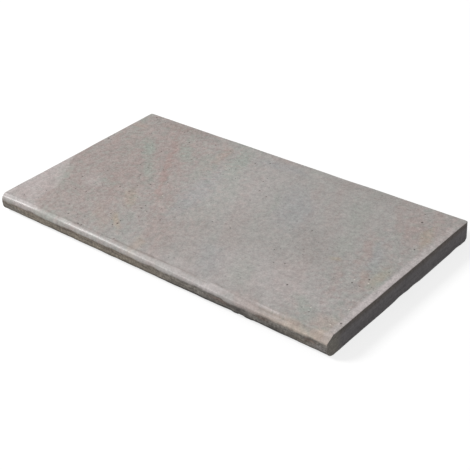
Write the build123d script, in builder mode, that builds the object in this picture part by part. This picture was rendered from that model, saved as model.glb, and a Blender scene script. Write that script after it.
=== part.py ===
"""Pool coping stone: one slab of natural sandstone with a hand-dressed bullnose along its front edge.

Millimetres. +X runs along the pool's edge, -Y points over the water and +Z is up.
The origin is the middle of the underside's outline, on the floor.
"""

import os
from math import cos, radians, sin
from random import Random

from build123d import *

# The slab
length = 610.0
width = 330.0
thickness = 30.0

# Bullnose: an upright brow, an arc above it up to the shoulder and an arc below it down to the toe.
# The setbacks are how far behind the brow these arcs reach the top face and the underside.
brow_height = 14.0
brow_rise = 2.5
shoulder_setback = 8.5
toe_setback = 13.0
toe_radius = 4.0

# Bevel dressed along the shoulder. It starts further behind the shoulder at the right end than at the left.
bevel_slope = 29.0
bevel_left_start = 0.5
bevel_right_start = 4.5
bevel_top_radius = 3.0
bevel_front_radius = 9.0

# Square edges: the upright back corners, and the arris that was rubbed down all round
corner_radius = 4.0
arris_radius = 0.8

# Flakes that the pitching tool took off the lower arrises at the back, the left end and under the toe
flake_pitch = 54.0
flake_width = (36.0, 66.0)
flake_rise = (0.6, 1.5)
flake_reach = (7.0, 15.0)
flake_stray = 0.2  # how far a flake strays from even spacing, in pitches
flake_seed = 5

# Deeper flakes at the right end: distance from the back of the stone, width, rise and reach
right_end_flakes = (
    (31.0, 30.0, 1.6, 9.0),
    (72.0, 38.0, 0.5, 6.0),
    (141.0, 34.0, 1.7, 10.0),
    (168.0, 40.0, 2.0, 12.0),
    (212.0, 44.0, 0.5, 7.0),
    (286.0, 48.0, 0.9, 10.0),
)

# Chips knocked off the two lower back corners
corner_chip_width = 15.0
corner_chip_rise = 3.6
corner_chip_reach = 6.0

front = -width / 2
back = width / 2
right = length / 2
left = -length / 2


def strike(x, y, outward, flake):
    """Take a flake off the lower arris at (x, y), where outward is the way out of the stone in degrees.

    The scar is part of a sphere. It is as wide as the flake along the arris, rises that far up the face
    at its middle and reaches that far under the stone.
    """
    across, rise, reach = flake
    half = across / 2
    below = (half**2 - rise**2) / (2 * rise)
    outside = (half**2 - reach**2) / (2 * reach)
    radius = (half**2 + below**2 + outside**2) ** 0.5
    centre = Vector(x, y, 0) + Vector(outside, 0, 0).rotate(Axis.Z, outward) - Vector(0, 0, below)
    with Locations(Location(centre, (0, 0, outward))):
        Sphere(radius, mode=Mode.SUBTRACT)


def spaced_flakes(start, end, chance):
    """Yield (place, flake) for a row of uneven flakes between two places on an arris."""
    count = max(1, int((end - start) // flake_pitch))
    pitch = (end - start) / count
    for step in range(count):
        place = start + pitch * (step + 0.5 + chance.uniform(-flake_stray, flake_stray))
        yield place, (chance.uniform(*flake_width), chance.uniform(*flake_rise), chance.uniform(*flake_reach))


with BuildPart() as coping_stone:
    # The section, which runs the whole length of the stone
    brow_top = brow_height + brow_rise
    with BuildSketch(Plane.YZ) as section:
        with BuildLine():
            Line((front + toe_setback, 0), (back, 0))
            Line((back, 0), (back, thickness))
            Line((back, thickness), (front + shoulder_setback, thickness))
            TangentArc((front, brow_top), (front + shoulder_setback, thickness), tangent=(0, 1))
            Line((front, brow_top), (front, brow_height))
            TangentArc((front, brow_height), (front + toe_setback, 0), tangent=(0, -1))
        make_face()
        fillet(section.vertices().group_by(Axis.Y)[0].sort_by(Axis.X)[0], toe_radius)
    extrude(amount=length / 2, both=True)

    # Upright back corners
    fillet(coping_stone.edges().filter_by(Axis.Z).group_by(Axis.Y)[-1], corner_radius)

    # Bevel along the shoulder, then its two long creases rubbed round
    bevel_left = Vector(left, front + shoulder_setback + bevel_left_start, thickness)
    bevel_right = Vector(right, front + shoulder_setback + bevel_right_start, thickness)
    along = (bevel_right - bevel_left).normalized()
    downhill = Vector(0, -cos(radians(bevel_slope)), -sin(radians(bevel_slope)))
    bevel_plane = Plane(origin=bevel_left, x_dir=along, z_dir=downhill.cross(along))
    split(bisect_by=bevel_plane, keep=Keep.BOTTOM)
    bevel = coping_stone.faces().filter_by(bevel_plane)[0]
    fillet(bevel.edges().group_by(Axis.Z)[0], bevel_front_radius)
    bevel = coping_stone.faces().filter_by(bevel_plane)[0]
    fillet(bevel.edges().group_by(Axis.Z)[-1], bevel_top_radius)

    # Rubbed arris, one closed run round the top, down both ends of the nose and round the underside
    end_arrises = coping_stone.faces().filter_by(Axis.X).edges().filter_by(
        lambda edge: edge.center().Y < back - 2 * corner_radius
    )
    back_arrises = coping_stone.faces().filter_by(Axis.Z).edges().filter_by(
        lambda edge: edge.center().Y > back - corner_radius
    )
    fillet(end_arrises + back_arrises, arris_radius)

    # Flakes off the lower arrises
    chance = Random(flake_seed)
    for x, flake in spaced_flakes(left, right, chance):
        strike(x, back, 90, flake)
    for y, flake in spaced_flakes(front + toe_setback, back, chance):
        strike(left, y, 180, flake)
    for x, flake in spaced_flakes(left, right, chance):
        strike(x, front + toe_setback, 270, flake)
    for from_back, *flake in right_end_flakes:
        strike(right, back - from_back, 0, flake)

    # Chips off the lower back corners, struck across the rounding
    corner_inset = corner_radius * (1 - 0.5**0.5)
    corner_chip = (corner_chip_width, corner_chip_rise, corner_chip_reach)
    strike(right - corner_inset, back - corner_inset, 45, corner_chip)
    strike(left + corner_inset, back - corner_inset, 135, corner_chip)

os.makedirs("parts", exist_ok=True)
coping_stone.part.label = "coping_stone"
export_step(coping_stone.part, "parts/coping_stone.step")
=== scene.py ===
"""Pool coping stone: a slab of sandstone with a dressed bullnose, on a pale floor under one soft lamp.

The stone's sizes are in millimetres, which MM turns into Blender's metres. +X runs along the pool's edge,
-Y points over the water and +Z is up.
"""

from math import cos, radians, sin, tan
from random import Random

import bmesh
import bpy
import numpy as np
from mathutils import Matrix, Vector


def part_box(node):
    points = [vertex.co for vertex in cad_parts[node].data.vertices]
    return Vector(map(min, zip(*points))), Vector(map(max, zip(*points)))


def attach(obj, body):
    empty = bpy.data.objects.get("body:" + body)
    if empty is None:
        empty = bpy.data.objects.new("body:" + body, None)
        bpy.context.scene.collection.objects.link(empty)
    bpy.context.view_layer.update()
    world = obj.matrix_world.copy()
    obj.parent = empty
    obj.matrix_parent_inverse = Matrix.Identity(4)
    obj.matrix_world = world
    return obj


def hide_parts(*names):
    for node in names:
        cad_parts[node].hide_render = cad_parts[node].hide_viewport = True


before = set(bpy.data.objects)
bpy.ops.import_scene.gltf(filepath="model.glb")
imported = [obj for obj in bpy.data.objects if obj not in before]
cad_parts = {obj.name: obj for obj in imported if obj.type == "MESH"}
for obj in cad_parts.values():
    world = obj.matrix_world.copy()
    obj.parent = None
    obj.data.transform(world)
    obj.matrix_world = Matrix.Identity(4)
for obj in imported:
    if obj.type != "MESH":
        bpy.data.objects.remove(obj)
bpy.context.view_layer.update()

MM = 0.001

# The stone's outline, in millimetres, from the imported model
low, high = (np.array(corner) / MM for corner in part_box("coping_stone"))
left, front, _ = low
right, back, thickness = high

# The section and edges, as the slab was worked: an upright brow, an arc above it up to the shoulder, an arc
# below it down to the toe, and a bevel dressed along the shoulder
BROW_HEIGHT = 14.0
BROW_RISE = 2.5
SHOULDER_SETBACK = 8.5
TOE_SETBACK = 13.0
SHOULDER_RADIUS = 1.0
TOE_RADIUS = 4.0
BEVEL_SLOPE = 29.0
BEVEL_LEFT_START = 0.5
BEVEL_RIGHT_START = 4.5
BEVEL_EASING = 0.4
CORNER_RADIUS = 4.0
ARRIS_RADIUS = 0.8

# Flakes off the lower arrises: the chance rows, and the ones seen at the right end
FLAKE_PITCH = 54.0
FLAKE_WIDTH = (36.0, 66.0)
FLAKE_RISE = (0.6, 1.5)
FLAKE_REACH = (7.0, 15.0)
FLAKE_STRAY = 0.2
FLAKE_SEED = 5
RIGHT_END_FLAKES = (
    (31.0, 30.0, 1.6, 9.0),
    (72.0, 38.0, 0.5, 6.0),
    (141.0, 34.0, 1.7, 10.0),
    (168.0, 40.0, 2.0, 12.0),
    (212.0, 44.0, 0.5, 7.0),
    (286.0, 48.0, 0.9, 10.0),
)
CORNER_CHIP = (15.0, 3.6, 6.0)
SCAR_SHOWN = 0.5  # the depth at which a scar's own colour is full

# Mesh spacing: steps along each stretch of half the section and along the length, and rings that close an end
ARC_STEPS = 22
EASING_STEPS = 4
NEAR_STEPS = 28
NEAR_REACH = 20.0
FAR_STEPS = 44
REAR_STEPS = 12
REAR_REACH = 18.0
BACK_STEPS = 7
CORNER_STEPS = 6
LENGTH_STEPS = 372
END_RINGS = 7
RING_GAP = 0.2  # the least gap between a back corner's last ring and the first of the end's rounding
WELD = 0.01  # points closer than this are one point

# How far each edge of the outline stands in from a straight line, at even steps along it, and how far inside
# the edge that fades out
BACK_INSETS = (0.0, 0.0, 0.2, 0.5, 0.1, 0.4, 0.5, 0.4, 0.9, 0.0, 0.2, 0.0, 0.0)
LEFT_INSETS = (0.2, 0.0, 0.4, 0.7, 0.8, 0.0, 0.2, 0.0, 0.1)
RIGHT_INSETS = (0.2, 0.0, 0.3, 0.1, 0.4, 0.1, 0.0, 0.3, 0.5, 0.1)
BACK_FADE = 30.0
END_FADE = 40.0

# Relief: where, depth, size of its hollows, how much longer they run along the stone, sharpness, layers and
# seed of their noise
RELIEF = (
    ("top", 0.20, 34.0, 1.0, 1.0, 3, 11),
    ("nose", 0.16, 14.0, 4.0, 1.0, 2, 21),
    ("brow", 0.50, 5.0, 3.0, 1.5, 3, 61),
    ("toe", 0.80, 14.0, 1.7, 1.0, 3, 31),
    ("sawn", 0.20, 12.0, 1.0, 1.0, 3, 41),
    ("bed", 1.20, 46.0, 1.0, 3.0, 4, 51),
)

# How far behind the brow the nose's finish reaches, and how far inside that it is full
NOSE_REACH = 14.0
NOSE_FADE = 4.0

# The brow was dressed flat: how far back, how much that varies, between which heights, and how far inside
# them the dressing is full. Below the sure height all of the nose takes on the brow's finish, over its fade.
BROW_CUT = 0.85
BROW_DRIFT = 0.35
BROW_FOOT = 4.0
BROW_HEAD = 28.0
BROW_FADE = 4.0
BROW_SURE = 18.5
BROW_SURE_FADE = 5.0

# How ragged the crease above the brow is and how softly it was rubbed, at even steps from left to right
BROW_RAGGED = (0.3, 0.25, 0.2, 0.2, 0.2, 0.25, 0.35, 0.5, 0.8, 0.8, 0.6, 0.5, 0.5)
CREASE_EASING = (1.0, 0.4, 0.3, 0.3, 0.3, 0.3, 0.4, 0.6, 0.9, 0.9, 1.0, 1.0, 0.9)

# Where the brow was dressed deeper, so that its crease climbs: x, half length and extra depth, then how far
# the ends of these chips wander and how steep they are
BROW_CHIPS = (
    (-238.0, 9.0, 0.3),
    (-64.0, 14.0, 0.3),
    (-34.0, 26.0, 0.35),
    (12.0, 12.0, 0.3),
    (96.0, 14.0, 0.3),
    (128.0, 24.0, 0.5),
    (204.0, 16.0, 0.5),
    (236.0, 14.0, 0.3),
    (284.0, 14.0, 0.4),
)
CHIP_WANDER = 3.0
CHIP_STEEPNESS = 1.3

# Grooves rubbed along the bevel, cut into the mesh and darkened with painted shade, and painted highlights
# along its ridges, which are pale lines with no ridge in the mesh: x and distance behind the brow at each end,
# half width and strength, then how deep the strongest groove is
GROOVES = (
    (-200.0, 10.6, -50.0, 10.6, 2.6, 0.50),
    # Chiefly a band of painted shade over the bevel, where the lamp lights it more than the top
    (-235.0, 9.0, 125.0, 9.0, 2.1, 0.80),
    (-85.0, 10.6, 105.0, 10.6, 2.8, 0.85),
    (105.0, 14.0, 195.0, 7.0, 2.4, 0.60),
    (172.0, 7.4, 272.0, 6.8, 2.2, 0.90),
    (225.0, 10.5, 312.0, 8.0, 3.6, 0.85),
)
HIGHLIGHT_LINES = (
    (-320.0, 5.2, -206.0, 6.2, 1.9, 0.9),
    (172.0, 11.6, 242.0, 10.8, 1.7, 0.8),
    (178.0, 4.6, 250.0, 4.4, 1.4, 0.5),
)
GROOVE_DEPTH = 0.22

# How these lines wander and break up: how far they wander and over what length, how long their tapered ends
# are, how large the breaks are and how much longer they run along the line, and how much of it stays whole
LINE_WANDER = 0.9
LINE_WANDER_SIZE = 40.0
LINE_TAPER = 25.0
BREAK_SIZE = 7.0
BREAK_STRETCH = 4.0
BREAK_WHOLE = 0.8

# How far the dressed bevel stands out of its plane, or below it where less than nought, at even steps from
# left to right
BEVEL_PROUD = (-0.7, -0.1, 0.1, 0.35, 0.5, 0.5, 0.4, 0.3, 0.15, 0.0, 0.0, 0.0, 0.0)

# Lumps left standing under the nose, as x and half width, and how steep they are. The stone round them is
# worn back to a hollow: x, half length and depth.
TOE_LUMPS = ((157.0, 7.0), (179.0, 10.0))
LUMP_STEEPNESS = 1.4
TOE_HOLLOW = (172.0, 60.0, 0.9)

# The left front corner of the top is rubbed down to a shallow facet that falls away to the left of this edge.
# The edge is given as x, at even steps in y from its start to the front.
RUBBED_EDGE_START = 27.5
RUBBED_EDGE = (-330.0, -311.0, -294.0, -274.0, -257.0, -247.0, -243.0, -241.0)
RUBBED_WANDER = 4.0
RUBBED_SLOPE = 0.8
RUBBED_EASING = 0.05

# How pale the facet was rubbed, near its edge and all over, as strength and the distance over which it grows,
# then the y in front of which this has gone and the distance over which it grows from there
FACET_WEAR = ((0.4, 5.0), (0.15, 60.0))
FACET_FRONT = -172.0
FACET_FRONT_FADE = 35.0

# A painted highlight, pale, on the corner itself: strength, then from which x and from how far behind the brow
# this starts, each with the distance over which it grows
CORNER_HIGHLIGHT = 0.55
CORNER_SIDE = -222.0
CORNER_SIDE_FADE = 24.0
CORNER_REAR = 24.0
CORNER_REAR_FADE = 16.0

# How worn the rim of the top is at the right end, at even steps from the front to the back
RIM_WIDTH = 13.0
RIM_FADE = 5.0
RIM_WEAR = (0.4, 0.8, 1.0, 1.15, 1.0, 0.7, 0.45, 0.3, 0.0)

# How polished the nose is, which also sets the painted shade over its polished band, and how strong the painted
# shade under it is, at even steps from left to right. The painted shade under it thickens downwards in two
# bands: strength, the height at which it starts and how far below that it is full.
NOSE_POLISH = (0.7, 0.78, 0.45, 0.72, 0.72, 0.66, 0.6, 0.55, 0.55, 0.5, 0.45, 0.3, 0.2)
NOSE_UNDER_SHADE = (0.15, 0.2, 0.3, 0.2, 0.2, 0.4, 0.6, 0.85, 1.0, 1.0, 0.95, 0.55, 0.2)
UNDER_SHADE_BANDS = ((0.30, 18.5, 11.0), (0.70, 12.0, 4.5))

# The noise that each of these varies by: size, seed and, where it isn't three, layers
DRIFT_NOISE = (45.0, 71)
RAGGED_NOISE = (12.0, 81, 4)
RAGGED_STRETCH = 1.5
CHIP_NOISE = (6.0, 83)
RUBBED_NOISE = (30.0, 91)
WORN_NOISE = (7.0, 95)
LINE_SEED = 41
LATTICE = 32  # cells along each side of the lattice, after which noise repeats


def eased(share):
    """A share from 0 to 1 with level ends: three times its square less twice its cube."""
    share = np.clip(share, 0, 1)
    return share * share * (3 - 2 * share)


def through(values, share):
    """An eased line through values at even steps, read at a share from 0 to 1 of the way along."""
    place = np.clip(share, 0, 1) * (len(values) - 1)
    step = np.minimum(place.astype(int), len(values) - 2)
    values = np.array(values)
    return values[step] + (values[step + 1] - values[step]) * eased(place - step)


def mound(place, middle, half, steepness=1.0):
    """1 at its middle, 0 from half its length away, and eased between. Steeper than 1, it has a flat top."""
    return eased(steepness * (1 - np.abs(place - middle) / half))


def cut_back(proud, easing):
    """How far a point that stands proud of a cut moves back to it.

    Within the easing of the cut, which rounds the crease, it moves by (proud + easing) squared over four
    times the easing. Beyond that it moves by all that it stands proud.
    """
    rounded = np.clip(proud + easing, 0, 2 * easing) ** 2 / (4 * easing)
    return np.where(proud > easing, proud, rounded)


def noise(points, size, seed):
    """Smooth noise from -1 to 1: random values on a lattice with cells of this size, eased between them."""
    lattice = np.random.default_rng(seed).uniform(-1, 1, (LATTICE, LATTICE, LATTICE))
    place = points / size
    cell = np.floor(place).astype(int)
    share = eased(place - cell)
    total = np.zeros(len(points))
    for corner in np.ndindex(2, 2, 2):
        weight = np.prod(np.where(corner, share, 1 - share), axis=1)
        total += weight * lattice[tuple(((cell + corner) % LATTICE).T)]
    return total


def layered(points, size, seed, layers=3):
    """Noise of several sizes added up, each layer half the size and half the strength of the one before."""
    total = sum(noise(points, size / 2**layer, seed + layer) / 2**layer for layer in range(layers))
    return total / (2 - 2 ** (1 - layers))


def line_along(x, y, lines):
    """How near each point is to the nearest of some lines along the bevel, from 0 to that line's strength.

    The lines wander together, and each has tapered ends and its own breaks.
    """
    near = np.zeros(len(x))
    wander = LINE_WANDER * layered(np.stack([x, 0 * x, 0 * x], 1), LINE_WANDER_SIZE, LINE_SEED)
    for start, start_back, end, end_back, half, strength in lines:
        share = (x - start) / (end - start)
        off = y - front - start_back - (end_back - start_back) * share - wander
        ends = eased((x - start) / LINE_TAPER) * eased((end - x) / LINE_TAPER)
        own_seed = LINE_SEED + int(start) % 97
        breaks = layered(np.stack([x / BREAK_STRETCH, y, 0 * x], 1), BREAK_SIZE, own_seed)
        near = np.maximum(near, strength * mound(off, 0, half) * ends * eased(BREAK_WHOLE + breaks))
    return near


def half_section(side):
    """Half the section as (y, z) rows, from the foot of the nose's arc to nearly mid-height at the back.

    side is 1 for the upper half and -1 for the lower, and rise is measured from the foot of the arc. The
    arc's radius is (setback squared + depth squared) / twice the setback. A small arc inside it eases it into
    the flat face, and another eases the square arris at the back.
    """
    foot = BROW_HEIGHT + BROW_RISE if side > 0 else BROW_HEIGHT
    depth = thickness - foot if side > 0 else foot
    setback = SHOULDER_SETBACK if side > 0 else TOE_SETBACK
    easing = SHOULDER_RADIUS if side > 0 else TOE_RADIUS
    radius = (setback**2 + depth**2) / (2 * setback)
    ease_rise = depth - easing
    ease_y = front + radius - ((radius - easing) ** 2 - ease_rise**2) ** 0.5
    meet = np.arctan2(ease_rise, front + radius - ease_y)
    turn = np.linspace(0, meet, ARC_STEPS, endpoint=False)
    nose = np.stack([front + radius - radius * np.cos(turn), radius * np.sin(turn)], 1)
    turn = np.linspace(meet, np.pi / 2, EASING_STEPS, endpoint=False)
    ease = np.stack([ease_y - easing * np.cos(turn), ease_rise + easing * np.sin(turn)], 1)
    near = np.linspace(ease_y, ease_y + NEAR_REACH, NEAR_STEPS, endpoint=False)
    rear_y = back - ARRIS_RADIUS - REAR_REACH
    far = np.linspace(ease_y + NEAR_REACH, rear_y, FAR_STEPS, endpoint=False)
    rear = np.linspace(rear_y, back - ARRIS_RADIUS, REAR_STEPS, endpoint=False)
    run = np.concatenate([near, far, rear])
    flat = np.stack([run, np.full(len(run), depth)], 1)
    turn = np.linspace(np.pi / 2, 0, EASING_STEPS, endpoint=False)
    inner = (back - ARRIS_RADIUS, depth - ARRIS_RADIUS)
    arris = np.stack([inner[0] + ARRIS_RADIUS * np.cos(turn), inner[1] + ARRIS_RADIUS * np.sin(turn)], 1)
    middle = side * (thickness / 2 - foot)
    upright = np.linspace(depth - ARRIS_RADIUS, middle, BACK_STEPS, endpoint=False)
    face = np.stack([np.full(BACK_STEPS, back), upright], 1)
    rows = np.concatenate([nose, ease, flat, arris, face])
    rows[:, 1] = foot + side * rows[:, 1]
    return rows


def plain_slab():
    """The slab before any relief, as a grid of rings by section points: places and outward normals.

    The section is carried along X. Each end is eased by a quarter round, then closed by rings that shrink
    the section to its own midline. The upright back corners are rounded by drawing the back in near the ends.
    """
    upper, lower = half_section(1), half_section(-1)
    brow_middle = [front, BROW_HEIGHT + BROW_RISE / 2]
    section = np.concatenate([[brow_middle], upper, [[back, thickness / 2]], lower[::-1]])
    mirrored = np.roll(section[::-1], 1, axis=0)
    midline = (section + mirrored) / 2
    midline[:, 0] = np.clip(midline[:, 0], front + SHOULDER_SETBACK, back - SHOULDER_SETBACK)
    along = np.roll(section, -1, axis=0) - np.roll(section, 1, axis=0)
    outward = np.stack([-along[:, 1], along[:, 0]], 1)
    outward /= np.linalg.norm(outward, axis=1)[:, None]

    turn = np.linspace(0, np.pi / 2, EASING_STEPS + 1)
    eased_x = right - ARRIS_RADIUS + ARRIS_RADIUS * np.sin(turn)
    corner_turn = np.linspace(0, np.pi / 3, CORNER_STEPS, endpoint=False)
    corner_x = right - CORNER_RADIUS + CORNER_RADIUS * np.sin(corner_turn)
    corner_x = corner_x[corner_x < eased_x[0] - RING_GAP]
    run = np.linspace(0, right - CORNER_RADIUS, LENGTH_STEPS // 2, endpoint=False)
    half_x = np.concatenate([run, corner_x, eased_x, np.full(END_RINGS, right)])
    plain = len(half_x) - len(turn) - END_RINGS
    half_turn = np.concatenate([np.zeros(plain), turn, np.full(END_RINGS, np.pi / 2)])
    half_shrink = np.concatenate([np.zeros(plain + len(turn)), np.linspace(0, 1, END_RINGS + 1)[1:]])

    x = np.concatenate([-half_x[:0:-1], half_x])
    turn = np.concatenate([half_turn[:0:-1], half_turn])
    shrink = np.concatenate([half_shrink[:0:-1], half_shrink])
    inset = ARRIS_RADIUS * (1 - np.cos(turn))
    rim = section[None] - inset[:, None, None] * outward[None]
    beyond = np.clip(np.abs(x) - (right - CORNER_RADIUS), 0, CORNER_RADIUS)
    drawn_in = CORNER_RADIUS - np.sqrt(CORNER_RADIUS**2 - beyond**2)
    near_back = eased((rim[..., 0] - (back - 4 * CORNER_RADIUS)) / (4 * CORNER_RADIUS))
    rim[..., 0] -= drawn_in[:, None] * near_back
    yz = rim + shrink[:, None, None] * (midline[None] - rim)
    places = np.concatenate([np.broadcast_to(x[:, None, None], yz.shape[:2] + (1,)), yz], 2)
    sideways = (np.sign(x) * np.sin(turn))[:, None, None]
    normals = np.concatenate(
        [np.broadcast_to(sideways, yz.shape[:2] + (1,)), np.cos(turn)[:, None, None] * outward[None]], 2
    )
    return places, normals


def bevelled(places):
    """The places cut back to the bevel, which stands a little proud of a plane sloping down to the front."""
    line_front = front + SHOULDER_SETBACK
    start = np.array([left, line_front + BEVEL_LEFT_START, thickness])
    end = np.array([right, line_front + BEVEL_RIGHT_START, thickness])
    downhill = np.array([0, -cos(radians(BEVEL_SLOPE)), -sin(radians(BEVEL_SLOPE))])
    outward = np.cross(downhill, end - start)
    outward /= np.linalg.norm(outward)
    proud = (places - start) @ outward - through(BEVEL_PROUD, (places[:, 0] - left) / (right - left))
    return places - cut_back(proud, BEVEL_EASING)[:, None] * outward


def spaced_flakes(start, end, chance):
    """(place, flake) for a row of uneven flakes between two places on an arris."""
    count = max(1, int((end - start) // FLAKE_PITCH))
    pitch = (end - start) / count
    for step in range(count):
        place = start + pitch * (step + 0.5 + chance.uniform(-FLAKE_STRAY, FLAKE_STRAY))
        yield place, tuple(chance.uniform(*span) for span in (FLAKE_WIDTH, FLAKE_RISE, FLAKE_REACH))


def scars():
    """Centre and radius of the sphere that each flake's scar is part of.

    The sphere cuts the arris over the flake's width, the face as high as its rise and the bed as deep as its
    reach. Its middle is (half squared - rise squared) / twice the rise below the arris, and outside it by the
    same with the reach.
    """
    chance = Random(FLAKE_SEED)
    strikes = [(x, back, 90, flake) for x, flake in spaced_flakes(left, right, chance)]
    strikes += [(left, y, 180, flake) for y, flake in spaced_flakes(front + TOE_SETBACK, back, chance)]
    strikes += [(x, front + TOE_SETBACK, 270, flake) for x, flake in spaced_flakes(left, right, chance)]
    strikes += [(right, back - from_back, 0, flake) for from_back, *flake in RIGHT_END_FLAKES]
    inset = CORNER_RADIUS * (1 - 0.5**0.5)
    strikes.append((right - inset, back - inset, 45, CORNER_CHIP))
    strikes.append((left + inset, back - inset, 135, CORNER_CHIP))
    for x, y, outward, (across, rise, reach) in strikes:
        half = across / 2
        below = (half**2 - rise**2) / (2 * rise)
        outside = (half**2 - reach**2) / (2 * reach)
        centre = (x + outside * cos(radians(outward)), y + outside * sin(radians(outward)), -below)
        yield np.array(centre), (half**2 + below**2 + outside**2) ** 0.5


def weathered(places, normals):
    """The slab with its relief, which only ever goes inwards, and the masks that its finish reads."""
    x, y, z = places.T
    width, length = back - front, right - left
    along, across = (x - left) / length, (y - front) / width
    moved = bevelled(places)

    # The brow's flat dressing, whose edge along the crease is ragged
    cut = BROW_CUT + BROW_DRIFT * layered(places * [1, 0, 0], *DRIFT_NOISE)
    cut += through(BROW_RAGGED, along) * layered(places / [RAGGED_STRETCH, 1, 1], *RAGGED_NOISE)
    wandered = x + CHIP_WANDER * layered(places, *CHIP_NOISE)
    for middle, half, depth in BROW_CHIPS:
        cut += depth * mound(wandered, middle, half, CHIP_STEEPNESS)
    level = eased((z - BROW_FOOT) / BROW_FADE) * eased((BROW_HEAD - z) / BROW_FADE)
    easing = through(CREASE_EASING, along)
    dressed = cut_back(front + cut - moved[:, 1], easing) * level
    moved[:, 1] += dressed

    # The rubbed corner: a plane that falls away to the left of its edge
    reach = front - RUBBED_EDGE_START
    edge = through(RUBBED_EDGE, (y - RUBBED_EDGE_START) / reach)
    edge += RUBBED_WANDER * layered(places, *RUBBED_NOISE)
    fall = (edge - x) * tan(radians(RUBBED_SLOPE))
    moved[:, 2] -= cut_back(moved[:, 2] - (thickness - fall), RUBBED_EASING)

    # The outline wanders
    moved[:, 1] -= through(BACK_INSETS, along) * eased((y - back + BACK_FADE) / BACK_FADE)
    moved[:, 0] += through(LEFT_INSETS, across) * eased((left + END_FADE - x) / END_FADE)
    moved[:, 0] -= through(RIGHT_INSETS, across) * eased((x - right + END_FADE) / END_FADE)

    # Scars: a point inside a scar's sphere moves straight out to its surface
    scar = np.zeros(len(places))
    for centre, radius in scars():
        away = moved - centre
        distance = np.linalg.norm(away, axis=1)
        inside = distance < radius
        scar[inside] = np.maximum(scar[inside], (radius - distance)[inside])
        moved[inside] += away[inside] * (radius / distance[inside] - 1)[:, None]

    # The areas of the surface that were worked alike. The brow's finish starts where the dressing has taken
    # off a tenth of its crease's easing, and is full where it has taken off 0.7 of the easing and 0.2 mm.
    nose = eased((front + NOSE_REACH - y) / NOSE_FADE)
    sawn = eased(np.maximum(np.abs(normals[:, 0]), normals[:, 1]) * 2 - 1)
    sure = eased((BROW_SURE - z) / BROW_SURE_FADE)
    brow = np.maximum(eased((dressed - 0.1 * easing) / (0.2 + 0.6 * easing)), sure) * nose * (1 - sawn)
    spared = sum(mound(x, middle, half, LUMP_STEEPNESS) for middle, half in TOE_LUMPS)
    areas = {
        "top": eased(normals[:, 2]),
        "nose": nose,
        "brow": brow,
        "toe": nose * eased(-normals[:, 2]) * (1 - spared),
        "sawn": sawn,
        "bed": eased(-normals[:, 2] * 2 - 1),
    }

    # Relief along the normal
    middle, half, depth = TOE_HOLLOW
    worn = depth * areas["toe"] * mound(x, middle, half)
    for area, depth, size, stretch, sharpness, layers, seed in RELIEF:
        hollow = layered(places / [stretch, 1, 1], size, seed, layers)
        worn += areas[area] * depth * np.clip(0.5 + 0.5 * sharpness * hollow, 0, 1)
    groove, highlight_line = (line_along(x, y, lines) * (1 - brow) * (1 - sawn) for lines in (GROOVES, HIGHLIGHT_LINES))
    moved -= normals * (worn + GROOVE_DEPTH * groove)[:, None]

    # What is painted pale: the right rim, rubbed pale, which is patchy and from 0.7 to 1.3 of its width, the
    # rubbed facet, and the painted highlights on the facet's corner and along the ridges
    patchy = 0.5 + 0.5 * layered(places, *WORN_NOISE)
    rim = eased((x - right + RIM_WIDTH * (0.7 + 0.6 * patchy)) / RIM_FADE)
    rim *= through(RIM_WEAR, across) * (0.7 + 0.3 * patchy)
    facet = sum(wear * eased((edge - x) / fade) for wear, fade in FACET_WEAR)
    facet *= eased((y - FACET_FRONT) / FACET_FRONT_FADE)
    corner = CORNER_HIGHLIGHT * eased((CORNER_SIDE - x) / CORNER_SIDE_FADE)
    corner *= eased((front + CORNER_REAR - y) / CORNER_REAR_FADE)
    worn_and_highlit = np.max([rim, facet, corner, highlight_line], axis=0)

    # Painted shade under the nose, darker downwards where it curves under, away from the lamp
    under_shade = sum(strength * eased((start - z) / fade) for strength, start, fade in UNDER_SHADE_BANDS)
    masks = {
        "sawn": sawn,
        "brow": brow,
        "broken": np.clip(scar / SCAR_SHOWN, 0, 1),
        "worn_and_highlit": worn_and_highlit * areas["top"] * (1 - sawn),
        "polish": nose * (1 - brow) * (1 - sawn) * through(NOSE_POLISH, along),
        "painted_shade": through(NOSE_UNDER_SHADE, along) * under_shade * nose * (1 - sawn),
        "groove": groove,
    }
    return moved, masks


def make_slab():
    """One closed mesh: the grid of rings by section points, its doubled points merged at both midlines."""
    places, normals = plain_slab()
    rings, points = places.shape[:2]
    moved, masks = weathered(places.reshape(-1, 3), normals.reshape(-1, 3))
    index = np.arange(rings * points).reshape(rings, points)
    ahead = np.roll(index, -1, axis=1)
    faces = np.stack([index[:-1], ahead[:-1], ahead[1:], index[1:]], -1).reshape(-1, 4)
    mesh = bpy.data.meshes.new("coping_slab")
    mesh.from_pydata((moved * MM).tolist(), [], faces.tolist())
    for name, values in masks.items():
        mesh.attributes.new(name, "FLOAT", "POINT").data.foreach_set("value", values.astype(np.float32))
    shape = bmesh.new()
    shape.from_mesh(mesh)
    bmesh.ops.remove_doubles(shape, verts=shape.verts, dist=WELD * MM)
    bmesh.ops.recalc_face_normals(shape, faces=shape.faces)
    for face in shape.faces:
        face.smooth = True
    shape.to_mesh(mesh)
    shape.free()
    slab = bpy.data.objects.new("coping_slab", mesh)
    bpy.context.scene.collection.objects.link(slab)
    return slab


def linear(code):
    """An sRGB hex colour as linear red, green, blue and full alpha."""
    share = np.array([int(code[place : place + 2], 16) for place in (1, 3, 5)]) / 255
    light = np.where(share <= 0.04045, share / 12.92, ((share + 0.055) / 1.055) ** 2.4)
    return (*light.tolist(), 1.0)


def add(tree, kind, inputs, **settings):
    """Add a node of a kind with its settings. Each input is a value, or another node's output to link."""
    made = tree.nodes.new(kind)
    for name, value in settings.items():
        setattr(made, name, value)
    for name, value in inputs.items():
        if isinstance(value, bpy.types.NodeSocket):
            tree.links.new(value, made.inputs[name])
        else:
            made.inputs[name].default_value = value
    return made
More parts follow.
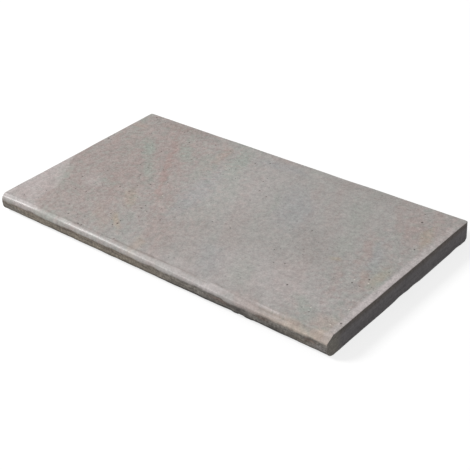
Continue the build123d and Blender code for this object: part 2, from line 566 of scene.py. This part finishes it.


# Colours of the sandstone: its ground, the clouds in it, what sawing, dressing, breaking and rubbing left on
# it, and the painted shade laid in its grooves, pits and crease, over its polished band, under its nose and
# along the top of its sawn ends
STONE = {
    "ground": "#A4A09D",
    "rose": "#A6938E",
    "lichen": "#9AA199",
    "slate": "#999C9F",
    "ochre": "#AE9E88",
    "rust": "#AC9184",
    "pale": "#BEB6B5",
    "shade": "#8B8480",
    "tan": "#B7A697",
    "umber_shade": "#6E5E56",
    "pit": "#4A4440",
    "speck": "#D6CFC6",
    "sawn": "#8E8A8C",
    "sawn_top_shade": "#7F7772",
    "sawn_nose": "#A39E96",
    "brow": "#857C70",
    "flint": "#77736E",
    "painted_shade": "#353230",
    "broken": "#7E7873",
}

# Clouds of colour on the top face: middle x, middle y, half length, half width, turn in degrees, colour and
# strength
CLOUDS = (
    (-215, 10, 150, 260, 0, "rose", 0.45),
    (-158, 50, 150, 8, -56, "rose", 0.95),
    (-235, 10, 130, 190, 0, "shade", 0.20),
    (-222, 70, 46, 16, -46, "lichen", 0.75),
    (-168, 18, 56, 12, -50, "lichen", 0.55),
    (-160, 90, 48, 14, -40, "lichen", 0.60),
    (-196, -44, 32, 11, 8, "lichen", 0.45),
    (-150, -33, 74, 5, -53, "shade", 0.35),
    (-105, 118, 40, 14, -66, "rust", 0.30),
    (-225, 152, 46, 12, 0, "rust", 0.25),
    (-290, 122, 20, 16, 0, "rust", 0.25),
    (-105, -30, 30, 12, -60, "rose", 0.45),
    (-132, -62, 34, 12, -58, "ochre", 0.30),
    (-104, -118, 36, 8, -40, "ochre", 0.50),
    (-145, -112, 34, 14, -50, "rust", 0.20),
    (-115, -132, 30, 12, -50, "rust", 0.25),
    (-35, -146, 26, 10, -40, "ochre", 0.30),
    (-215, -52, 34, 20, -20, "pale", 0.30),
    (-272, -68, 46, 17, -56, "lichen", 0.48),
    (-290, -136, 26, 20, 0, "rose", 0.50),
    (-60, 10, 90, 26, -78, "slate", 0.40),
    (-62, 100, 60, 22, -75, "lichen", 0.6),
    (-20, 20, 100, 34, -80, "lichen", 0.30),
    (-24, 50, 80, 110, 0, "pale", 0.26),
    (0, 140, 60, 16, 0, "slate", 0.35),
    (88, 55, 80, 40, -55, "slate", 0.34),
    (55, 45, 40, 6, -62, "lichen", 0.30),
    (165, -5, 60, 30, -30, "shade", 0.22),
    (172, 95, 60, 18, -68, "lichen", 0.24),
    (200, 20, 40, 16, -68, "lichen", 0.26),
    (205, -16, 12, 8, 0, "ochre", 0.45),
    (236, 30, 44, 10, -64, "rose", 0.45),
    (252, 18, 50, 10, -72, "slate", 0.35),
    (268, -34, 28, 8, -60, "rust", 0.35),
    (282, 95, 40, 10, -80, "ochre", 0.45),
    (280, -18, 34, 10, -80, "ochre", 0.35),
    (262, 100, 50, 26, -68, "rose", 0.35),
    (195, -95, 70, 30, -50, "rose", 0.25),
    (170, -105, 150, 60, 0, "pale", 0.36),
    (40, -150, 110, 16, 0, "pale", 0.28),
    (130, -112, 50, 20, -50, "lichen", 0.30),
    (235, -125, 30, 12, -50, "lichen", 0.45),
    (72, -112, 50, 26, -50, "slate", 0.25),
    (-20, -112, 70, 30, -50, "rose", 0.30),
    (-215, 152, 120, 16, 0, "shade", 0.35),
    (150, 152, 90, 14, 0, "shade", 0.30),
    (288, -136, 30, 22, 0, "tan", 0.35),
    (-208, -161, 44, 8, 0, "lichen", 0.48),
    (110, -161, 45, 8, 0, "pale", 0.5),
    (190, -161, 70, 9, 0, "rose", 0.35),
    (282, -163, 100, 15, 0, "tan", 0.66),
)

# Stains on the front of the nose, with painted shade along its crease, under its chips and low on its right
# part: x, height, half length, half height, colour, strength
STAINS = (
    (-285, 12.0, 34, 8.0, "flint", 0.7),
    (-250, 19.0, 60, 2.6, "umber_shade", 0.35),
    (-160, 19.0, 60, 2.6, "umber_shade", 0.35),
    (-60, 18.5, 70, 3.0, "umber_shade", 0.40),
    (136, 16.5, 30, 4.5, "umber_shade", 0.75),
    (168, 15.0, 17, 6.0, "painted_shade", 0.70),
    (203, 18.0, 14, 3.5, "umber_shade", 0.75),
    (228, 12.5, 30, 5.0, "painted_shade", 0.30),
    (279, 17.5, 15, 3.5, "umber_shade", 0.75),
    (264, 12.0, 36, 6.0, "brow", 0.45),
    (292, 12.0, 18, 6.0, "sawn", 0.45),
)

# Pits and pale specks that stand out on the top face: x, y, radius
PITS = (
    (255, 126, 2.3),
    (-96, -121, 2.0),
    (274, -30, 1.8),
    (-178, 121, 1.9),
    (195, -100, 1.8),
    (-135, -13, 1.6),
    (-100, -127, 1.5),
    (283, 62, 1.6),
    (-176, -143, 1.6),
    (-147, -47, 1.4),
    (-192, 23, 1.4),
    (-98, -62, 1.4),
)
SPECKS = (
    (278, -38, 1.7),
    (258, -41, 1.6),
    (290, -98, 1.6),
    (249, -122, 1.4),
    (289, -136, 1.4),
    (-97, -27, 1.3),
    (283, -80, 1.2),
)

# A cloud or stain fades between these distances from its middle, in shares of its reach, and a pit or speck
# is full inside this share of its radius
PATCH_FADE = (1.15, 0.25)
SPOT_CORE = 0.3

# How lively the stone's figure is: it grows between these x to this much, to the left and to the right
LIVELY = ((40.0, -110.0, 1.0), (190.0, 250.0, 0.8))

# Bedding: how long, wide and thick its veins are, and which way they run. Veins and clouds are bent by noise:
# its size and detail, and its reach each way.
VEIN_SIZE = (170.0, 26.0, 80.0)
VEIN_TURN = -62.0
BEND = (38.0, 4.0, (34.0, 34.0, 0.0))

# Veins and mottling: how strong they are where the stone is quiet and where it is lively, and the noise
# values over which rose comes in and over which green-grey does
VEIN_STRENGTH = (0.22, 0.48)
VEIN_ROSE = (0.48, 0.70)
VEIN_LICHEN = (0.48, 0.30)
MOTTLE_SIZE = 9.0
MOTTLE_STRENGTH = (0.14, 0.34)
MOTTLE_ROSE = (0.50, 0.68)
MOTTLE_LICHEN = (0.50, 0.32)

# Grain: size, layers of detail, roughness between them and how strongly it shades. Real sand grains of 0.2 mm
# would not show, so the speckle is drawn coarser.
GRAIN = (
    (11.0, 4.0, 0.60, 0.07),
    (4.6, 2.0, 0.55, 0.15),
    (2.1, 3.0, 0.75, 0.21),
)
GRAIN_SPAN = (0.25, 0.75)  # the noise values over which it shades
LIVELY_GRAIN = 1.22  # how much stronger it is where the stone is lively

# Chance pits: size of the cells that may each hold one and of their crowds, the draw from which a cell holds
# one, and the largest radius, in cells. Then how much thicker a crowd is where the stone is lively, the noise
# values over which a crowd grows, how far under the top pits stop and are full, how soft their rim is, in
# cells, and how strong they are beside the placed pits.
PIT_SPACING = 6.5
PIT_CROWDING = 55.0
PIT_DRAW = 0.60
PIT_RADIUS = 0.24
LIVELY_CROWD = 0.22
CROWD_SPAN = (0.41, 0.69)
PIT_FLOOR = (1.4, 0.6)
PIT_EDGE = 0.05
CHANCE_STRENGTH = 0.8

# How much painted shade pits take, how much of their own colour specks take, and how deep pits are and how
# strongly that shows
PIT_SHADE_COVER = 0.85
SPECK_COVER = 0.9
PIT_DEPTH = 0.8
PIT_BUMP = 0.9

# Sawn ends: size of the saw marks, how they shade as noise values and factors, how ragged they make the warm
# band of painted shade under the top, the heights over which that comes in, and how far behind the brow the
# pale nose does
SAW_SIZE = (40.0, 55.0, 3.0)
SAW_SHADE = (0.3, 0.7, 0.78, 1.2)
SAWN_RAGGED = 12.0
SAWN_SHADE_BAND = (24.0, 34.0)
SAWN_NOSE = (34.0, 16.0)

# Brow: the x over which it turns to flint grey, how its stains are bent, and the size of its streaks and
# pocks with how they shade, as noise values and factors
BROW_TURNS = (-60.0, 160.0)
STAIN_BEND = (7.0, 3.0, (24.0, 0.0, 5.0))
STREAK_SIZE = (30.0, 6.0, 2.8)
STREAK_SHADE = (0.34, 0.66, 0.6, 1.45)
POCK_SIZE = 4.2
POCK_SHADE = (0.35, 0.65, 0.72, 1.25)

# Gloss: roughness of the brushed stone and how much full polish takes off it, size and depth of its grit, and
# how strong that is brushed and polished. Porous stone reflects less than a solid one, so its IOR is lower.
BRUSHED_ROUGHNESS = 0.84
POLISH_SMOOTHS = 0.66
GRIT_SIZE = 1.6
GRIT_DEPTH = 0.25
GRIT_STRENGTH = (0.65, 0.10)
STONE_IOR = 1.40


def tinted(tree, below, value, start, end, most, above):
    """A colour with another laid over it, by a share that eases from 0 to most as a value goes start to end."""
    reading = {"Value": value, "From Min": start, "From Max": end, "To Max": most}
    share = add(tree, "ShaderNodeMapRange", reading, interpolation_type="SMOOTHSTEP").outputs[0]
    return add(tree, "ShaderNodeMix", {0: share, 6: below, 7: above}, data_type="RGBA").outputs[2]


def shaded(tree, colour, value, start, end, dark, light):
    """A colour scaled by a factor that goes from dark to light as a value goes from start to end."""
    reading = {"Value": value, "From Min": start, "From Max": end, "To Min": dark, "To Max": light}
    factor = add(tree, "ShaderNodeMapRange", reading).outputs[0]
    return add(tree, "ShaderNodeVectorMath", {0: colour, "Scale": factor}, operation="SCALE").outputs[0]


def bent_places(tree, place, size, detail, reach):
    """Places moved about by noise, at most half of reach each way, so that no patch has a drawn edge."""
    warp = add(tree, "ShaderNodeTexNoise", {"Vector": place, "Scale": 1 / (size * MM), "Detail": detail})
    inputs = {0: warp.outputs["Color"], 1: (0.5, 0.5, 0.5)}
    offset = add(tree, "ShaderNodeVectorMath", inputs, operation="SUBTRACT").outputs[0]
    inputs = {0: offset, 1: tuple(way * MM for way in reach), 2: place}
    return add(tree, "ShaderNodeVectorMath", inputs, operation="MULTIPLY_ADD").outputs[0]


def patch(tree, below, place, middle, reach, turn, name, strength):
    """A patch of one of the stone's colours over the colour below, full near its middle and fading out."""
    inputs = {"Vector": place, "Location": middle, "Rotation": (0, 0, radians(turn)), "Scale": reach}
    around = add(tree, "ShaderNodeMapping", inputs, vector_type="TEXTURE").outputs[0]
    distance = add(tree, "ShaderNodeVectorMath", {0: around}, operation="LENGTH").outputs["Value"]
    return tinted(tree, below, distance, *PATCH_FADE, strength, linear(STONE[name]))


def liveliness(tree, place):
    """How lively the stone's figure is, from 0 to 1: strong at both ends, and quiet right of the middle."""
    x = add(tree, "ShaderNodeSeparateXYZ", {0: place}).outputs[0]
    shares = []
    for start, end, most in LIVELY:
        reading = {"Value": x, "From Min": start * MM, "From Max": end * MM, "To Max": most}
        shares.append(add(tree, "ShaderNodeMapRange", reading, interpolation_type="SMOOTHSTEP").outputs[0])
    return add(tree, "ShaderNodeMath", dict(enumerate(shares)), operation="MAXIMUM").outputs[0]


def cloudy(tree, place, lively):
    """The colour of the bedding: veins over the ground, then each placed cloud, then a fine mottling.

    The veins are noise drawn out along the bedding, rose where it is high and green-grey where it is low. So
    is the mottling, which is not drawn out. Both are stronger where the stone is lively.
    """
    veined, mottled = (
        add(tree, "ShaderNodeMapRange", {"Value": lively, "To Min": quiet, "To Max": bold}).outputs[0]
        for quiet, bold in (VEIN_STRENGTH, MOTTLE_STRENGTH)
    )
    bent = bent_places(tree, place, *BEND)
    size = tuple(size * MM for size in VEIN_SIZE)
    inputs = {"Vector": bent, "Rotation": (0, 0, radians(VEIN_TURN)), "Scale": size}
    drawn = add(tree, "ShaderNodeMapping", inputs, vector_type="TEXTURE").outputs[0]
    inputs = {"Vector": drawn, "Scale": 1.0, "Detail": 4.0, "Roughness": 0.52}
    vein = add(tree, "ShaderNodeTexNoise", inputs).outputs[0]
    colour = tinted(tree, linear(STONE["ground"]), vein, *VEIN_ROSE, veined, linear(STONE["rose"]))
    colour = tinted(tree, colour, vein, *VEIN_LICHEN, veined, linear(STONE["lichen"]))
    for x, y, long, wide, turn, name, strength in CLOUDS:
        middle, reach = (x * MM, y * MM, 0), (long * MM, wide * MM, 1)
        colour = patch(tree, colour, bent, middle, reach, turn, name, strength)
    inputs = {"Vector": place, "Scale": 1 / (MOTTLE_SIZE * MM), "Detail": 2.0, "Roughness": 0.6}
    mottle = add(tree, "ShaderNodeTexNoise", inputs).outputs[0]
    colour = tinted(tree, colour, mottle, *MOTTLE_ROSE, mottled, linear(STONE["rose"]))
    return tinted(tree, colour, mottle, *MOTTLE_LICHEN, mottled, linear(STONE["lichen"]))


def spot(tree, place, x, y, radius):
    """How far inside a round spot on the top face a point is, from 0 at its rim to 1 near its middle."""
    middle = (x * MM, y * MM, thickness * MM)
    away = add(tree, "ShaderNodeVectorMath", {0: place, 1: middle}, operation="DISTANCE").outputs["Value"]
    reading = {"Value": away, "From Min": radius * MM, "From Max": SPOT_CORE * radius * MM}
    return add(tree, "ShaderNodeMapRange", reading, interpolation_type="SMOOTHSTEP").outputs[0]


def pitted(tree, place, lively):
    """How far inside a pit a point is, from 0 to 1: chance pits in crowds, and the placed ones.

    A chance pit sits in a cell. It exists where its cell's random draw is high, and is larger the higher the
    draw is and the thicker the crowd. Crowds are thicker where the stone is lively, and only the top has any.
    """
    cells = add(tree, "ShaderNodeTexVoronoi", {"Vector": place, "Scale": 1 / (PIT_SPACING * MM)}).outputs
    draw = add(tree, "ShaderNodeSeparateColor", {0: cells["Color"]}).outputs[0]
    reading = {"Value": draw, "From Min": PIT_DRAW, "From Max": 1.0, "To Max": PIT_RADIUS}
    radius = add(tree, "ShaderNodeMapRange", reading).outputs[0]
    inputs = {"Vector": place, "Scale": 1 / (PIT_CROWDING * MM), "Detail": 2.0}
    crowd = add(tree, "ShaderNodeTexNoise", inputs).outputs[0]
    inputs = {0: lively, 1: LIVELY_CROWD, 2: crowd}
    crowd = add(tree, "ShaderNodeMath", inputs, operation="MULTIPLY_ADD").outputs[0]
    z = add(tree, "ShaderNodeSeparateXYZ", {0: place}).outputs[2]
    none, full = ((thickness - under) * MM for under in PIT_FLOOR)
    on_top = add(tree, "ShaderNodeMapRange", {"Value": z, "From Min": none, "From Max": full}).outputs[0]
    none, full = CROWD_SPAN
    reading = {"Value": crowd, "From Min": none, "From Max": full, "To Max": on_top}
    crowd = add(tree, "ShaderNodeMapRange", reading, interpolation_type="SMOOTHSTEP").outputs[0]
    radius = add(tree, "ShaderNodeMath", {0: radius, 1: crowd}, operation="MULTIPLY").outputs[0]
    inside = add(tree, "ShaderNodeMath", {0: radius, 1: cells["Distance"]}, operation="SUBTRACT").outputs[0]
    reading = {"Value": inside, "From Max": PIT_EDGE, "To Max": CHANCE_STRENGTH}
    pit = add(tree, "ShaderNodeMapRange", reading, interpolation_type="SMOOTHSTEP").outputs[0]
    for x, y, radius in PITS:
        inputs = {0: pit, 1: spot(tree, place, x, y, radius)}
        pit = add(tree, "ShaderNodeMath", inputs, operation="MAXIMUM").outputs[0]
    return pit


def worked_face(tree, place):
    """The colour of the sawn ends: a warm band darkened with painted shade under the top, mauve grey below, and
    a pale olive nose.
    """
    inputs = {"Vector": place, "Scale": tuple(1 / (size * MM) for size in SAW_SIZE)}
    marked = add(tree, "ShaderNodeMapping", inputs).outputs[0]
    inputs = {"Vector": marked, "Scale": 1.0, "Detail": 4.0, "Roughness": 0.65}
    marks = add(tree, "ShaderNodeTexNoise", inputs).outputs[0]
    _, y, z = add(tree, "ShaderNodeSeparateXYZ", {0: place}).outputs
    inputs = {0: marks, 1: SAWN_RAGGED * MM, 2: z}
    ragged = add(tree, "ShaderNodeMath", inputs, operation="MULTIPLY_ADD").outputs[0]
    start, end = (height * MM for height in SAWN_SHADE_BAND)
    colour = tinted(tree, linear(STONE["sawn"]), ragged, start, end, 1.0, linear(STONE["sawn_top_shade"]))
    start, end = ((front + behind) * MM for behind in SAWN_NOSE)
    colour = tinted(tree, colour, y, start, end, 1.0, linear(STONE["sawn_nose"]))
    return shaded(tree, colour, marks, *SAW_SHADE)


def brow_face(tree, place):
    """The colour of the dressed brow: olive brown turning to flint grey, stained, painted shade at its crease,
    and in short streaks.
    """
    inputs = {"Vector": place, "Scale": tuple(1 / (size * MM) for size in STREAK_SIZE)}
    streaked = add(tree, "ShaderNodeMapping", inputs).outputs[0]
    inputs = {"Vector": streaked, "Scale": 1.0, "Detail": 5.0, "Roughness": 0.68, "Distortion": 0.6}
    streak = add(tree, "ShaderNodeTexNoise", inputs).outputs[0]
    x = add(tree, "ShaderNodeSeparateXYZ", {0: place}).outputs[0]
    start, end = (place_x * MM for place_x in BROW_TURNS)
    colour = tinted(tree, linear(STONE["brow"]), x, start, end, 1.0, linear(STONE["flint"]))
    bent = bent_places(tree, place, *STAIN_BEND)
    for middle_x, height, long, tall, name, strength in STAINS:
        middle, reach = (middle_x * MM, 0, height * MM), (long * MM, 1, tall * MM)
        colour = patch(tree, colour, bent, middle, reach, 0, name, strength)
    inputs = {"Vector": place, "Scale": 1 / (POCK_SIZE * MM), "Detail": 2.0}
    pock = add(tree, "ShaderNodeTexNoise", inputs).outputs[0]
    colour = shaded(tree, colour, pock, *POCK_SHADE)
    return shaded(tree, colour, streak, *STREAK_SHADE)


def sandstone():
    """Brushed sandstone, clouded on top, polished along the nose, rough on the brow and sawn at the ends.

    Sandstone with a brushed top is matt and close-grained. Its colour is mauve grey with veins and clouds of
    green-grey and ochre, under a fine speckle, small pits darkened with painted shade and a few pale specks.
    Painted shade also lies in its grooves, along its crease, over its polished band, under its nose and along
    the top of its sawn ends, and painted highlights lie on its left corner and along its bevel.
    """
    material = bpy.data.materials.new("sandstone_brushed")
    material.use_nodes = True
    tree = material.node_tree
    tree.nodes.clear()
    place = add(tree, "ShaderNodeTexCoord", {}).outputs["Object"]
    sawn, brow, broken, worn_and_highlit, polish, painted_shade, groove = (
        add(tree, "ShaderNodeAttribute", {}, attribute_name=name).outputs["Fac"]
        for name in ("sawn", "brow", "broken", "worn_and_highlit", "polish", "painted_shade", "groove")
    )

    # What each way of working left, with the painted highlights and painted shade, one over the other: its
    # mask, how strongly it covers, and its colour
    lively = liveliness(tree, place)
    colour = cloudy(tree, place, lively)
    for mask, strength, finish in (
        # Rubbed wear, with painted highlights on the front left corner and along the bevel's ridges
        (worn_and_highlit, 1.0, linear(STONE["pale"])),
        # Painted shade in the grooves and in a band over the bevel
        (groove, 0.45, linear(STONE["umber_shade"])),
        # Painted shade over the polished band of the nose, which the lamp lights more than the top
        (polish, 0.17, linear(STONE["painted_shade"])),
        (brow, 0.95, brow_face(tree, place)),
        # Painted shade under the nose
        (painted_shade, 0.90, linear(STONE["painted_shade"])),
        (broken, 0.60, linear(STONE["broken"])),
        (sawn, 0.95, worked_face(tree, place)),
    ):
        share = add(tree, "ShaderNodeMath", {0: mask, 1: strength}, operation="MULTIPLY").outputs[0]
        colour = add(tree, "ShaderNodeMix", {0: share, 6: colour, 7: finish}, data_type="RGBA").outputs[2]

    # Grain
    for size, detail, roughness, depth in GRAIN:
        inputs = {"Vector": place, "Scale": 1 / (size * MM), "Detail": detail, "Roughness": roughness}
        fleck = add(tree, "ShaderNodeTexNoise", inputs).outputs[0]
        quiet = shaded(tree, colour, fleck, *GRAIN_SPAN, 1 - depth, 1 + depth)
        depth *= LIVELY_GRAIN
        bold = shaded(tree, colour, fleck, *GRAIN_SPAN, 1 - depth, 1 + depth)
        colour = add(tree, "ShaderNodeMix", {0: lively, 6: quiet, 7: bold}, data_type="RGBA").outputs[2]

    # Pits, darkened with painted shade, and specks
    pit = pitted(tree, place, lively)
    colour = tinted(tree, colour, pit, 0.0, 1.0, PIT_SHADE_COVER, linear(STONE["pit"]))
    for x, y, radius in SPECKS:
        speck = spot(tree, place, x, y, radius)
        colour = tinted(tree, colour, speck, 0.0, 1.0, SPECK_COVER, linear(STONE["speck"]))

    # The polished part of the nose shines, and its grit is rubbed down
    shine = add(tree, "ShaderNodeMath", {0: polish, 1: POLISH_SMOOTHS}, operation="MULTIPLY").outputs[0]
    roughness = add(tree, "ShaderNodeMath", {0: BRUSHED_ROUGHNESS, 1: shine}, operation="SUBTRACT").outputs[0]
    inputs = {"Vector": place, "Scale": 1 / (GRIT_SIZE * MM), "Detail": 3.0, "Roughness": 0.65}
    grit = add(tree, "ShaderNodeTexNoise", inputs).outputs[0]
    brushed, polished = GRIT_STRENGTH
    reading = {"Value": polish, "To Min": brushed, "To Max": polished}
    grit_strength = add(tree, "ShaderNodeMapRange", reading).outputs[0]
    inputs = {"Height": grit, "Distance": GRIT_DEPTH * MM, "Strength": grit_strength}
    bump = add(tree, "ShaderNodeBump", inputs).outputs[0]
    filled = add(tree, "ShaderNodeMath", {0: 1.0, 1: pit}, operation="SUBTRACT").outputs[0]
    inputs = {"Height": filled, "Distance": PIT_DEPTH * MM, "Strength": PIT_BUMP, "Normal": bump}
    bump = add(tree, "ShaderNodeBump", inputs).outputs[0]
    inputs = {"Base Color": colour, "Roughness": roughness, "Normal": bump, "IOR": STONE_IOR}
    shader = add(tree, "ShaderNodeBsdfPrincipled", inputs).outputs[0]
    add(tree, "ShaderNodeOutputMaterial", {"Surface": shader})
    return material


# The view of the photograph: its camera stands here, in millimetres, and is turned by these degrees
CAMERA_PLACE = (923.986, -986.299, 835.480)
CAMERA_AZIMUTH = 42.5709
CAMERA_ELEVATION = 32.3039
CAMERA_ROLL = -4.0891
FOCAL_PIXELS = 1088.535
PICTURE_PIXELS = 470
SENSOR_MM = 36.0


def make_camera():
    """The camera, which looks down the line of its azimuth and elevation and is then rolled."""
    azimuth, elevation, roll = (radians(turn) for turn in (CAMERA_AZIMUTH, CAMERA_ELEVATION, CAMERA_ROLL))
    behind = Vector((sin(azimuth) * cos(elevation), -cos(azimuth) * cos(elevation), sin(elevation)))
    level = Vector((cos(azimuth), sin(azimuth), 0))
    upward = behind.cross(level)
    side = level * cos(roll) + upward * sin(roll)
    upright = upward * cos(roll) - level * sin(roll)
    data = bpy.data.cameras.new("camera")
    data.sensor_width = SENSOR_MM
    data.lens = SENSOR_MM * FOCAL_PIXELS / PICTURE_PIXELS
    data.clip_start, data.clip_end = 0.05, 50
    camera = bpy.data.objects.new("camera", data)
    turned = Matrix((side, upright, behind)).transposed().to_4x4()
    camera.matrix_world = Matrix.Translation(Vector(CAMERA_PLACE) * MM) @ turned
    bpy.context.scene.collection.objects.link(camera)
    bpy.context.scene.camera = camera


# Studio, in metres: one soft lamp from the left and the front, an even surround and a pale floor. Lamp and
# surround together light a level white surface to this level, which is nearly white, so colours show about
# as they are written.
LAMP_TOWARDS = (-0.65, -0.42, 0.63)
LAMP_DISTANCE = 6.0
LAMP_SIZE = 1.8
SURROUND = 0.35
LEVEL = 0.965

# Floor, in metres: how much light it throws back on the stone, and the tone and the glow that it is seen
# with. It lies just under the stone, so that the two never share a plane.
FLOOR_SIZE = 20.0
FLOOR_HEIGHT = -0.0001
FLOOR_BOUNCE = 0.20
FLOOR_TONE = 0.27
FLOOR_GLOW = 0.78


def shown(tree):
    """1 where a ray shows a thing to the camera, straight or by way of gloss or glass, and 0 elsewhere."""
    path = add(tree, "ShaderNodeLightPath", {}).outputs
    inputs = {0: path["Is Camera Ray"], 1: path["Is Glossy Ray"]}
    either = add(tree, "ShaderNodeMath", inputs, operation="MAXIMUM").outputs[0]
    inputs = {0: either, 1: path["Is Transmission Ray"]}
    return add(tree, "ShaderNodeMath", inputs, operation="MAXIMUM").outputs[0]


def make_studio():
    """The lamp, the surround and the floor. Floor and surround show white, and throw back less than that.

    A lamp far away lights a level white surface by its energy times the height of its direction, over pi
    squared times its distance squared.
    """
    towards = Vector(LAMP_TOWARDS).normalized()
    data = bpy.data.lights.new("softbox", "AREA")
    data.shape, data.size = "SQUARE", LAMP_SIZE
    data.energy = np.pi**2 * LAMP_DISTANCE**2 * (LEVEL - SURROUND) / towards.z
    lamp = bpy.data.objects.new("softbox", data)
    lamp.location = towards * LAMP_DISTANCE
    lamp.rotation_euler = towards.to_track_quat("Z", "Y").to_euler()
    bpy.context.scene.collection.objects.link(lamp)

    world = bpy.data.worlds.new("surround")
    world.use_nodes = True
    tree = world.node_tree
    tree.nodes.clear()
    reading = {"Value": shown(tree), "To Min": SURROUND, "To Max": 1.0}
    strength = add(tree, "ShaderNodeMapRange", reading).outputs[0]
    light = add(tree, "ShaderNodeBackground", {"Color": (1, 1, 1, 1), "Strength": strength}).outputs[0]
    add(tree, "ShaderNodeOutputWorld", {"Surface": light})
    bpy.context.scene.world = world

    half = FLOOR_SIZE / 2
    corners = ((-half, -half), (half, -half), (half, half), (-half, half))
    mesh = bpy.data.meshes.new("floor")
    mesh.from_pydata([(x, y, FLOOR_HEIGHT) for x, y in corners], [], [(0, 1, 2, 3)])
    floor = bpy.data.objects.new("floor", mesh)
    bpy.context.scene.collection.objects.link(floor)
    material = bpy.data.materials.new("floor_paper")
    material.use_nodes = True
    tree = material.node_tree
    tree.nodes.clear()
    seen = shown(tree)
    reading = {"Value": seen, "To Min": FLOOR_BOUNCE, "To Max": FLOOR_TONE}
    tone = add(tree, "ShaderNodeMapRange", reading).outputs[0]
    paper = add(tree, "ShaderNodeBsdfDiffuse", {"Color": tone}).outputs[0]
    glow = add(tree, "ShaderNodeMath", {0: seen, 1: FLOOR_GLOW}, operation="MULTIPLY").outputs[0]
    lit = add(tree, "ShaderNodeEmission", {"Color": (1, 1, 1, 1), "Strength": glow}).outputs[0]
    both = add(tree, "ShaderNodeAddShader", {0: paper, 1: lit}).outputs[0]
    add(tree, "ShaderNodeOutputMaterial", {"Surface": both})
    mesh.materials.append(material)


make_camera()
make_studio()
slab = make_slab()
slab.data.materials.append(sandstone())
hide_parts("coping_stone")
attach(slab, "root")
bpy.context.scene.view_settings.view_transform = "Standard"
